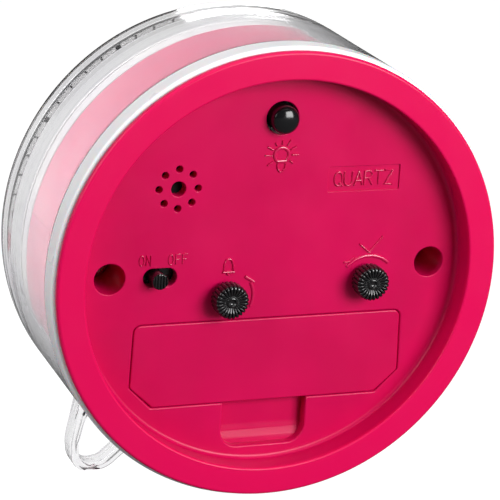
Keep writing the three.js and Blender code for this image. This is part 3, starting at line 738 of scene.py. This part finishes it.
def switch_words():
    """ON and OFF above the ends of the slot. Seen from behind, a word runs towards -X."""
    high, low, middle = 4.5, 2.4, 3.5
    strokes = letter_o(27.5, 3.45, 0.95, 2.1)
    strokes += letter([[(26.6, low), (26.6, high), (25.7, low), (25.7, high)]])
    strokes += letter_o(21.5, 3.45, 1.0, 2.1)
    for x in (20.5, 19.1):
        strokes += letter([[(x, low), (x, high), (x - 0.95, high)], [(x, middle), (x - 0.75, middle)]])
    return strokes


def label_word():
    """The word QUARTZ in raised letters, in the label recess."""
    z, half, wide = LABEL.z, 1.45, 0.85
    low, high = z - half, z + half
    strokes = []
    for i, word_letter in enumerate("QUARTZ"):
        x = LABEL.x + 5.4 - 2.16 * i
        left, right = x + wide, x - wide
        unit = circle(1, facets=20)
        oval = [(x + wide * p.x, z + half * p.y) for p in unit]
        bowl = [(x + wide * p.x, z - 0.45 + p.y) for p in unit[:1] + unit[:9:-1]]
        lines = {
            "Q": [oval + oval[:1], [(x - 0.2, z - 0.7), (right - 0.1, low - 0.05)]],
            "U": [[(left, high), (left, z)] + bowl + [(right, high)]],
            "A": [[(left, low), (x, high), (right, low)], [(x + 0.5, z - 0.5), (x - 0.5, z - 0.5)]],
            "R": [[(left, low), (left, high), (x - 0.3, high), (right, high - 0.7), (x - 0.3, z), (left, z)],
                  [(x, z), (right, low)]],
            "T": [[(left, high), (right, high)], [(x, high), (x, low)]],
            "Z": [[(left, high), (right, high), (left, low), (right, low)]],
        }[word_letter]
        strokes += [stroke(line, width=0.44, height=0.3, face=FLOOR + LABEL.sunk) for line in lines]
    return strokes


def alarm_marks():
    x, z = 9.4, 0.2
    bell = mirrored([(1.3, z), (0.95, z + 0.45), (0.9, z + 1.7), (0.55, z + 2.5), (0, z + 2.8)], x)
    strokes = [stroke(bell, closed=True, width=0.5)]
    strokes.append(stroke(arc(x, z - 0.1, 0.4, 200, 340, 8), width=0.3))
    strokes.append(stroke(arc(ALARM_KNOB.x, ALARM_KNOB.z, 5.7, 152, 205)))
    strokes.append(stroke([(5.85, -0.85), (3.9, -2.15)]))
    return strokes


def time_marks():
    strokes = [stroke([(-23.3, 6.0), (-20.5, 2.75), (-18.3, 4.7)], width=0.42)]
    strokes.append(stroke(arc(-20.6, -4.3, 6.3, 42, 132)))
    strokes.append(stroke([(-17.4, 1.9), (-16.4, 1.0), (-15.2, 0.9)], width=0.36))
    return strokes


def cover_marks():
    marks = together(*bulb_mark(), *switch_words(), *alarm_marks(), *time_marks(), *label_word())
    return piece(shape(marks), "cover_marks", "case", slot="pink_plastic", look=MARK_PINK, sharp=60)


def dust_screen():
    """The black felt behind the sound holes; its black paints the shade seen through them."""
    disc = shape(rod(6.5, FLOOR_BACK + 0.02, FLOOR_BACK + 0.2, BUZZER.x, BUZZER.z))
    return piece(disc, "sound_hole_shade_felt", "case", slot="black_plastic", look=HOLE_SHADE_FELT)


# ---------- battery door and what is behind it ----------
def battery_door():
    edge = 0.32
    levels = []
    for k in range(5):
        angle = math.pi / 2 * k / 4
        levels.append((door_outline(-edge * (1 - math.sin(angle))), FLOOR + edge * (1 - math.cos(angle))))
    levels.append((door_outline(0), DOOR_BACK - 0.1))
    levels.append((door_outline(-0.1), DOOR_BACK))
    door = shape(loft(levels))
    ribs = [block(x - 0.45, x + 0.45, -25, -14.5, DOOR_BACK - 0.3, DOOR_BACK + 0.7) for x in (-15, 0, 15)]
    latch = block(-3.5, 3.5, -25.9, -24.9, DOOR_BACK - 0.3, DOOR_BACK + 1.6)
    combine(door, "UNION", *ribs, latch)
    return piece(door, "battery_door_panel", "battery_door", "battery_door", "pink_plastic")


def battery_cell():
    """An AA cell: shrunk sleeve with rolled edges, crimped can ends, and the plus button."""
    radius = (CELL.z1 - CELL.z0) / 2
    depth = (CELL.near + CELL.far) / 2
    length = CELL.x1 - CELL.x0
    sleeve = rounded([
        (radius - 1.6, 0.3), (radius - 1.2, 0.05, 0.2), (radius - 0.35, 0.05, 0.3), (radius, 0.6, 0.3),
        (radius, length - 2.6, 0.5), (radius - 0.6, length - 1.95, 0.3), (radius - 1.7, length - 1.9, 0.1),
        (radius - 1.7, length - 2.4),
    ])
    jacket = shape(along_x(turned(sleeve, MEDIUM), CELL.x0, CELL.z, depth))
    piece(jacket, "cell_sleeve", "case", "battery_cell", "cell_jacket")
    can = rounded([
        (0, 0.12), (radius - 2.2, 0.12, 0.2), (radius - 2.0, 0.4, 0.2), (radius - 0.25, 0.4, 0.2),
        (radius - 0.25, length - 2.45, 0.4), (radius - 1.9, length - 2.3, 0.2), (2.9, length - 1.6, 0.3),
        (2.6, length, 0.35), (0, length),
    ])
    body = shape(along_x(turned(can, MEDIUM), CELL.x0, CELL.z, depth))
    return piece(body, "cell_can", "case", "battery_cell", "plated_steel")


def battery_contacts():
    spring = measured("battery_spring_contact")
    plus = measured("battery_plus_contact")
    depth = (CELL.near + CELL.far) / 2
    plate_end = spring.x0 + 0.5
    plate = shape(block(spring.x0, plate_end, spring.z0, spring.z1, spring.near, spring.far))
    bevelled(plate, 0.12)
    turns = 3.5
    steps = 110
    reach = CELL.x0 - 0.35 - plate_end
    coil = []
    for k in range(steps + 1):
        share = k / steps
        angle = share * turns * 2 * math.pi
        radius = 4.3 - 2.2 * share
        x = plate_end + 0.25 + (reach - 0.25) * share
        coil.append(at(x, CELL.z + radius * math.cos(angle), depth + radius * math.sin(angle)))
    combine(plate, "UNION", wire(coil, 0.3))
    piece(plate, "spring_contact", "case", "battery_spring_contact", "plated_steel")
    flat = bevelled(shape(block(plus.x0, plus.x1, plus.z0, plus.z1, plus.near, plus.far)), 0.12)
    return piece(flat, "plus_contact", "case", "battery_plus_contact", "plated_steel")


# ---------- light button ----------
def light_button():
    dome, shoulder, skirt = 2.82, 4.1, 2.85
    rise = shoulder - BUTTON.near
    turns = [math.pi / 2 * k / 14 for k in range(15)]
    profile = [(dome * math.sin(a), shoulder - rise * math.cos(a)) for a in turns]
    flange = BUTTON.far - 4.0
    profile += rounded([
        (dome, shoulder + 0.25), (skirt, shoulder + 0.35, 0.08), (skirt, flange), (4.3, flange, 0.15),
        (4.3, flange + 0.9, 0.15), (1.3, flange + 0.9, 0.1), (1.3, BUTTON.far, 0.2), (0, BUTTON.far),
    ])
    button = shape(turned(profile, MEDIUM, BUTTON.x, BUTTON.z))
    return piece(button, "light_button_cap", "light_button", "light_button", "gloss_black")


def button_spring():
    """A compression spring."""
    tube = measured("light_button_spring")
    thick = 0.22
    turns = 5.0
    steps = 160
    radius = tube.radius - thick
    coil = []
    for k in range(steps + 1):
        share = k / steps
        angle = share * turns * 2 * math.pi
        depth = tube.near + thick + (tube.far - tube.near - 2 * thick) * share
        coil.append(at(tube.x + radius * math.cos(angle), tube.z + radius * math.sin(angle), depth))
    spring = piece(shape(wire(coil, thick)), "button_spring_wire", "case", "light_button_spring",
                   "plated_steel")
    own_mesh(spring)
    return spring


# ---------- alarm switch ----------
def switch_slider():
    radius = 1.65
    plate_near = SLIDER.far - 0.9
    x, z = SLIDER.x - 0.2, SWITCH.z
    post = shape(turned(rounded([
        (0, SLIDER.near), (radius, SLIDER.near, 0.3), (radius, plate_near + 0.3), (0, plate_near + 0.3),
    ]), MEDIUM, x, z))
    groove = 0.13
    grooves = together(*(
        block(x + step - groove, x + step + groove, z - 3, z + 3, SLIDER.near - 1, SLIDER.near + 0.4)
        for step in (-1.2, -0.6, 0, 0.6, 1.2)
    ))
    combine(post, "DIFFERENCE", grooves)
    combine(post, "UNION", block(SLIDER.x0, SLIDER.x1, SLIDER.z0, SLIDER.z1, plate_near, SLIDER.far))
    bevelled(post, 0.05)
    return piece(post, "switch_slider", "alarm_switch", "alarm_switch_slider", "black_plastic")


# ---------- knobs ----------
KNOB_RIDGES = 24


def setting_knob(node, name):
    """A knob with ridges that fan out from its middle and run down its side."""
    knob = measured(node)
    face, back, radius = knob.near, knob.far, knob.radius
    # Each ring: radius, depth, how far a groove cuts inwards, how far it cuts down.
    rings = [
        (0.42, face + 0.62, 0, 0), (0.58, face + 0.5, 0, 0), (0.68, face + 0.26, 0, 0),
        (0.84, face + 0.14, 0, 0), (1.02, face + 0.2, 0, 0), (1.14, face + 0.42, 0, 0),
        (1.26, face + 0.5, 0, 0.02), (1.4, face + 0.42, 0, 0.12), (1.75, face + 0.22, 0, 0.24),
        (2.2, face + 0.06, 0, 0.36), (2.75, face, 0, 0.46), (3.05, face + 0.05, 0, 0.48),
        (3.28, face + 0.18, 0.1, 0.44), (3.45, face + 0.42, 0.24, 0.3), (radius, face + 0.75, 0.34, 0.12),
        (radius, back - 0.25, 0.34, 0), (radius - 0.1, back - 0.08, 0.32, 0), (radius - 0.25, back, 0.3, 0),
        (1.4, back, 0, 0),
    ]
    steps = KNOB_RIDGES * 14
    sections = []
    for ring_radius, depth, inwards, down in rings:
        section = []
        for i in range(steps):
            angle = 2 * math.pi * i / steps
            groove = (0.5 + 0.5 * math.cos(KNOB_RIDGES * angle)) ** 3.5
            reach = ring_radius - inwards * groove
            x, z = knob.x + reach * math.cos(angle), knob.z + reach * math.sin(angle)
            section.append(at(x, z, depth + down * groove))
        sections.append(section)
    made = shape(skinned(sections))
    return piece(made, name, node, node, "black_plastic", sharp=50)


# ---------- screws ----------
def case_screw(node, name):
    screw = measured(node)
    head_back = SCREW_SEAT - 0.3
    body = shape(turned(rounded([
        (0, screw.near), (1.9, screw.near, 0.5), (screw.radius, screw.near + 0.9, 0.3),
        (screw.radius, head_back, 0.1), (1.25, head_back), (1.25, screw.far - 1.2, 0.1), (0.3, screw.far),
        (0, screw.far),
    ]), SMALL, screw.x, screw.z))
    arms = [block(screw.x - a, screw.x + a, screw.z - b, screw.z + b, screw.near - 1, screw.near + 1)
            for a, b in ((1.5, 0.36), (0.36, 1.5))]
    combine(body, "DIFFERENCE", *arms)
    return piece(body, name, "case", node, "plated_steel")


# ---------- clear case ----------
def strap_outline(side, points):
    return [Vector((side * x, z)) for x, z in rounded(points, 10)]


def grown(outline, distance):
    """The outline moved outwards by a distance, or inwards by a negative one."""
    count = len(outline)
    area = sum(a.x * b.y - b.x * a.y for a, b in zip(outline, outline[1:] + outline[:1]))
    sign = 1 if area > 0 else -1
    moved = []
    for i, point in enumerate(outline):
        along = (outline[(i + 1) % count] - outline[i - 1]).normalized()
        moved.append(point + Vector((along.y, -along.x)) * (sign * distance))
    return moved


def foot(side):
    """A U-shaped strap under the bezel with rounded edges."""
    outer = strap_outline(side, [
        (26, -34), (30.9, -36), (32.8, -45.8, 10), (32.2, -50.6, 5), (28.4, -53.3, 5.5), (23.8, -51.7, 5),
        (20.0, -48.4, 8), (11.5, -43.2), (16, -38),
    ])
    inner = strap_outline(side, [
        (27.4, -36), (29.4, -41, 8), (30.7, -46.4, 5), (30.4, -49.3, 2.4), (28.6, -50.6, 2.2),
        (25.6, -50.4, 2.6), (22.4, -47.6, 5), (17.8, -42.4),
    ])
    turns = [math.pi / 2 * k / 5 for k in range(6)]
    near = [(FOOT_EDGE * (1 - math.sin(a)), FOOT_START + FOOT_EDGE * (1 - math.cos(a))) for a in turns]
    far = [(inset, FOOT_START + FOOT_END - depth) for inset, depth in reversed(near)]
    strap = shape(loft([(grown(outer, -inset), depth) for inset, depth in near + far]))
    hole = [(grown(inner, inset), depth) for inset, depth in near + far]
    hole = [(hole[0][0], FOOT_START - 1)] + hole + [(hole[-1][0], FOOT_END + 1)]
    core = rod(CASE.x1 - 1, FOOT_START - 1, FOOT_END + 1, facets=LARGE)
    combine(strap, "DIFFERENCE", loft(hole), core, ground())
    return taken(strap)


def ground():
    """The half space below the surface that the clock stands on."""
    bm = bmesh.new()
    bmesh.ops.create_cube(bm, size=1.0)
    bm.transform(TO_CLOCK @ Matrix.Translation((0, 0, -0.01)) @ Matrix.Diagonal((0.2, 0.2, 0.02, 1)))
    return bm


def clear_case():
    """The clear shell with its feet, and its frosted collar behind the pink rim."""
    edge = CASE.far
    case = shape(turned(rounded([
        (CASE_BORE, COLLAR_END + 0.05), (CASE.x1, COLLAR_END + 0.05, 0.15), (CASE.x1, edge, 1.6),
        (LENS_BORE, edge, 0.25), (LENS_BORE, LENS_SEAT), (BEZEL_BORE, LENS_SEAT, 0.3),
        (BEZEL_BORE, BEZEL_START, 0.2), (CASE_BORE, BEZEL_START),
    ], 8), LARGE))
    combine(case, "UNION", foot(-1), foot(1))
    collar = shape(turned(rounded([
        (COLLAR_BORE, CASE.near), (CASE.x1, CASE.near, 0.8), (CASE.x1, COLLAR_END - 0.05, 0.15),
        (COLLAR_BORE, COLLAR_END - 0.05),
    ], 8), LARGE))
    piece(collar, "case_collar", "case", "clear_case", "clear_plastic", FROSTED)
    return piece(case, "case_shell", "case", "clear_case", "clear_plastic", sharp=30)


def front_lens():
    lens = shape(turned(rounded([
        (0, LENS.near), (LENS.radius, LENS.near, 0.15), (LENS.radius, LENS.far, 0.6), (0, LENS.far),
    ]), LARGE))
    return piece(lens, "lens", "case", "front_lens", "lens_plastic")


def ring(node, name, inner, material_slot, edge=0.25):
    part = measured(node)
    made = shape(turned(rounded([
        (inner, part.near, edge), (part.radius, part.near, edge), (part.radius, part.far, edge),
        (inner, part.far, edge),
    ], 4), LARGE))
    return piece(made, name, "case", node, material_slot)


def inner_drum():
    drum = measured("inner_drum")
    shell = shape(turned(rounded([
        (drum.radius - 1.8, drum.near, 0.3), (drum.radius, drum.near, 0.4), (drum.radius, drum.far, 0.3),
        (drum.radius - 1.8, drum.far, 0.3),
    ], 4), LARGE))
    start, end = SCREW_SEAT + 1.5, drum.far - 0.2
    for side in (-1, 1):
        x, wall = side * SCREW_X, side * 42
        web = block(min(x, wall), max(x, wall), -1.5, 1.5, start, end)
        combine(shell, "UNION", web, rod(3.8, start, end, x))
        combine(shell, "DIFFERENCE", rod(SHAFT_HOLE, 15, 26, x, facets=SMALL))
    # the drum's finish holds painted haze, with a deeper pink painted towards the top
    return piece(shell, "drum", "case", "inner_drum", "pink_plastic", DRUM_PAINTED_HAZE)


# ---------- dial side ----------
PRINT = 0.03               # thickness of the printing on the dial


def dial_direction(turn):
    """Direction on the dial for a share of a turn from twelve, clockwise seen from the front."""
    angle = math.pi / 2 - 2 * math.pi * turn
    return Vector((math.cos(angle), math.sin(angle)))


def radial_bar(turn, inner, outer, width):
    along = dial_direction(turn)
    across = Vector((-along.y, along.x)) * (width / 2)
    corners = [along * inner + across, along * inner - across, along * outer - across, along * outer + across]
    return slab(corners, DIAL.far - 0.01, DIAL.far + PRINT)


def dial():
    inner = BUSH_RADIUS + 0.3
    disc = shape(turned(rounded([
        (inner, DIAL.near), (DIAL.radius, DIAL.near), (DIAL.radius, DIAL.far, 0.1), (inner, DIAL.far, 0.1),
    ], 3), LARGE))
    return piece(disc, "dial_disc", "case", "dial", "dial_white")


def dial_print():
    bars = []
    for minute in range(60):
        if minute % 15 == 0:
            bars.append(radial_bar(minute / 60, 34.2, 38.2, 1.5))
        elif minute % 5 == 0:
            bars.append(radial_bar(minute / 60, 34.9, 38.2, 1.1))
        else:
            bars.append(radial_bar(minute / 60, 36.9, 38.2, 0.35))
    piece(shape(together(*bars)), "dial_minute_track", "case", slot="black_paint", look=PRINT_BLACK)
    band = shape(turned([(38.8, DIAL.far - 0.01), (39.3, DIAL.far - 0.01), (39.3, DIAL.far + PRINT),
                         (38.8, DIAL.far + PRINT)], LARGE))
    piece(band, "dial_band", "case", slot="pink_paint", look=PRINT_PINK)


def dial_numeral(hour):
    """An upright numeral facing the front."""
    curve = bpy.data.curves.new(f"numeral_{hour}", "FONT")
    curve.body = str(hour)
    curve.size = 8.2
    curve.align_x = "CENTER"
    curve.align_y = "CENTER"
    curve.extrude = PRINT / 2
    text = bpy.data.objects.new(f"numeral_{hour}", curve)
    bpy.context.scene.collection.objects.link(text)
    depsgraph = bpy.context.evaluated_depsgraph_get()
    depsgraph.update()
    mesh = bpy.data.meshes.new_from_object(text.evaluated_get(depsgraph))
    bpy.data.objects.remove(text)
    centre = dial_direction(hour / 12) * 28.6
    low = Vector((min(v.co.x for v in mesh.vertices), min(v.co.y for v in mesh.vertices), 0))
    high = Vector((max(v.co.x for v in mesh.vertices), max(v.co.y for v in mesh.vertices), 0))
    stand = Matrix.Rotation(math.pi / 2, 4, "X")
    mesh.transform(Matrix.Translation(at(centre.x, centre.y, DIAL.far + PRINT / 2)) @ stand
                   @ Matrix.Translation(-(low + high) / 2))
    numeral = bpy.data.objects.new(f"numeral_{hour}", mesh)
    bpy.context.scene.collection.objects.link(numeral)
    return piece(numeral, f"dial_numeral_{hour:02d}", "case", slot="black_paint", look=PRINT_BLACK)


def hand(node, material_slot, turn, outline, hub, bore):
    """A hand cut from an outline that points along +X, with a hub and rounded edges."""
    part = measured(node)
    along = dial_direction(turn)
    across = Vector((-along.y, along.x))
    blade = shape(slab([along * x + across * z for x, z in outline], part.far - 0.4, part.far))
    combine(blade, "UNION", rod(hub, part.far - 0.4, part.far))
    combine(blade, "DIFFERENCE", rod(bore, 25, 45))
    bevelled(blade, 0.07)
    return piece(blade, f"{node}_blade", node, node, material_slot)


def baton(length, tail, width):
    half, shoulder = width / 2, length * 0.82
    return [(-tail, -half * 0.8), (shoulder, -half), (length, 0), (shoulder, half), (-tail, half * 0.8)]


def hands():
    """The hands show nine minutes and 32 seconds past ten; the alarm is set to six."""
    hand("alarm_hand", "red_paint", 0.5, baton(17, 0, 1.4), 4.4, 3.46)
    hand("hour_hand", "black_paint", (10 + 9 / 60) / 12, baton(21, 4, 2.4), 3.4, 2.46)
    hand("minute_hand", "black_paint", 9 / 60, baton(31, 5, 1.9), 2.8, 1.56)
    hand("second_hand", "pink_paint", 32 / 60, baton(33, 9, 0.8), 2.0, 0.66)


def movement_nut():
    nut = measured("movement_nut")
    body = shape(slab(circle(nut.radius, facets=6), nut.near, nut.far))
    chamfer = turned([(0, nut.near), (nut.radius + 0.1, nut.near), (nut.radius + 0.1, nut.far - 0.5),
                      (nut.radius - 1.0, nut.far), (0, nut.far)], MEDIUM)
    combine(body, "INTERSECT", chamfer)
    combine(body, "DIFFERENCE", rod(BUSH_RADIUS + 0.3, 25, 35))
    bevelled(body, 0.1)
    return piece(body, "hex_nut", "case", "movement_nut", "brass")


# ---------- floor, light and camera ----------
SURROUND = 0.95                         # brightness of the white tent around the clock
DARK_SIDE = (0.35, 0.9, 0.25)           # the tent's open side, which draws dark lines in clear plastic
AMBIENT = 0.075                         # how bright the tent is as a light and in reflections on the clock
FLOOR_GLOW_THROUGH = 0.85               # the floor's glow through clear plastic; it is 1 when seen directly
BOUNCE = 0.16                           # how bright the floor is as a light on the clock

CAMERA_DISTANCE = 465.3
CAMERA_AZIMUTH = math.radians(21.7)      # from the clock's axis towards +X
CAMERA_ELEVATION = math.radians(18.52)   # above the clock's axis
CAMERA_AIM = at(7.32, 6.52, 0)
CAMERA_LENS = 169.96


def reflected_ray(nodes, links):
    """1 for rays that light or mirror in a surface, 0 for those that look straight or through plastic."""
    path = nodes.new("ShaderNodeLightPath").outputs
    either = calculated(nodes, links, "MAXIMUM", path["Is Diffuse Ray"], path["Is Glossy Ray"])
    return calculated(nodes, links, "SUBTRACT", either, path["Is Transmission Ray"])


def paper_floor():
    """A floor that glows white for the camera only, so that it doesn't light the clock from below."""
    bm = bmesh.new()
    bmesh.ops.create_grid(bm, x_segments=1, y_segments=1, size=6)
    floor = shape(bm, "floor")
    made, nodes, links = material("paper_floor")
    shader = nodes["Principled BSDF"]
    preset(shader, {
        "Base Color": (BOUNCE, BOUNCE, BOUNCE, 1), "Roughness": 0.9, "Specular IOR Level": 0.0,
        "Emission Color": (1, 1, 1, 1),
    })
    path = nodes.new("ShaderNodeLightPath")
    through = calculated(nodes, links, "MULTIPLY", path.outputs["Is Transmission Ray"], FLOOR_GLOW_THROUGH)
    glow = calculated(nodes, links, "ADD", path.outputs["Is Camera Ray"], through)
    links.new(glow, shader.inputs["Emission Strength"])
    floor.data.materials.append(made)


def tent():
    """A white tent with one dark side, which the clock's own surfaces see only faintly."""
    world = bpy.data.worlds.new("studio")
    world.use_nodes = True
    nodes, links = world.node_tree.nodes, world.node_tree.links
    cloth = nodes["Background"]
    coordinates = nodes.new("ShaderNodeTexCoord")
    toward = nodes.new("ShaderNodeVectorMath")
    toward.operation = "DOT_PRODUCT"
    toward.inputs[1].default_value = Vector(DARK_SIDE).normalized()
    links.new(coordinates.outputs["Generated"], toward.inputs[0])
    shade = ramp(nodes, links, toward.outputs["Value"], [(0.35, SURROUND), (0.6, 0.12)])
    links.new(shade, cloth.inputs["Color"])
    ambient = nodes.new("ShaderNodeBackground")
    preset(ambient, {"Color": (1, 1, 1, 1), "Strength": AMBIENT})
    mixed(nodes, links, reflected_ray(nodes, links), cloth.outputs["Background"],
          ambient.outputs["Background"], "World Output")
    bpy.context.scene.world = world


def softbox(name, direction, distance, width, height, power):
    """An area light that looks at the clock's middle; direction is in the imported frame."""
    light = bpy.data.lights.new(name, "AREA")
    light.shape = "RECTANGLE"
    light.size = width
    light.size_y = height
    light.energy = power
    lamp = bpy.data.objects.new(name, light)
    bpy.context.scene.collection.objects.link(lamp)
    target = CLOCK @ at(0, 0, 10)
    away = Vector(direction).normalized()
    lamp.location = target + away * distance
    lamp.rotation_mode = "QUATERNION"
    lamp.rotation_quaternion = away.to_track_quat("Z", "Y")


def camera():
    data = bpy.data.cameras.new("camera")
    data.lens = CAMERA_LENS
    data.sensor_width = 36
    data.clip_start = 0.01
    obj = bpy.data.objects.new("camera", data)
    bpy.context.scene.collection.objects.link(obj)
    level = CAMERA_DISTANCE * math.cos(CAMERA_ELEVATION)
    eye = CLOCK @ Vector((level * math.sin(CAMERA_AZIMUTH), level * math.cos(CAMERA_AZIMUTH),
                          CAMERA_DISTANCE * math.sin(CAMERA_ELEVATION)))
    obj.location = eye
    obj.rotation_mode = "QUATERNION"
    obj.rotation_quaternion = (CLOCK @ CAMERA_AIM - eye).to_track_quat("-Z", "Y")
    bpy.context.scene.camera = obj


# ---------- build ----------
camera()
paper_floor()
tent()
softbox("key", (-0.45, 0.875, 0.18), 0.8, 0.46, 0.46, 8.0)
softbox("side", (1.0, 0.15, 0.6), 1.2, 0.8, 0.8, 9)
softbox("top", (0.05, 0.3, 1.0), 0.9, 1.0, 0.7, 2.8)
bpy.context.scene.view_settings.view_transform = "Standard"

rear_cover()
cover_marks()
dust_screen()
battery_door()
battery_cell()
battery_contacts()
light_button()
button_spring()
switch_slider()
setting_knob("time_knob", "time_knob_cap")
setting_knob("alarm_knob", "alarm_knob_cap")
case_screw("case_screw_left", "screw_left")
case_screw("case_screw_right", "screw_right")
clear_case()
front_lens()
ring("case_seal", "seal_ring", SEAL.radius - 0.5, "white_plastic", 0.1)
ring("dial_ring", "dial_spacer", RING.radius - 2.8, "white_plastic")
inner_drum()
dial()
dial_print()
for hour in range(1, 13):
    dial_numeral(hour)
hands()
movement_nut()

# Every CAD node that still shows takes the procedural finish of its slot.
for subpart in frame["record"]["subparts"]:
    node = frame["nodes"][subpart["node"]]
    node.data.materials.clear()
    node.data.materials.append(MATERIALS[subpart["material_slot"]])
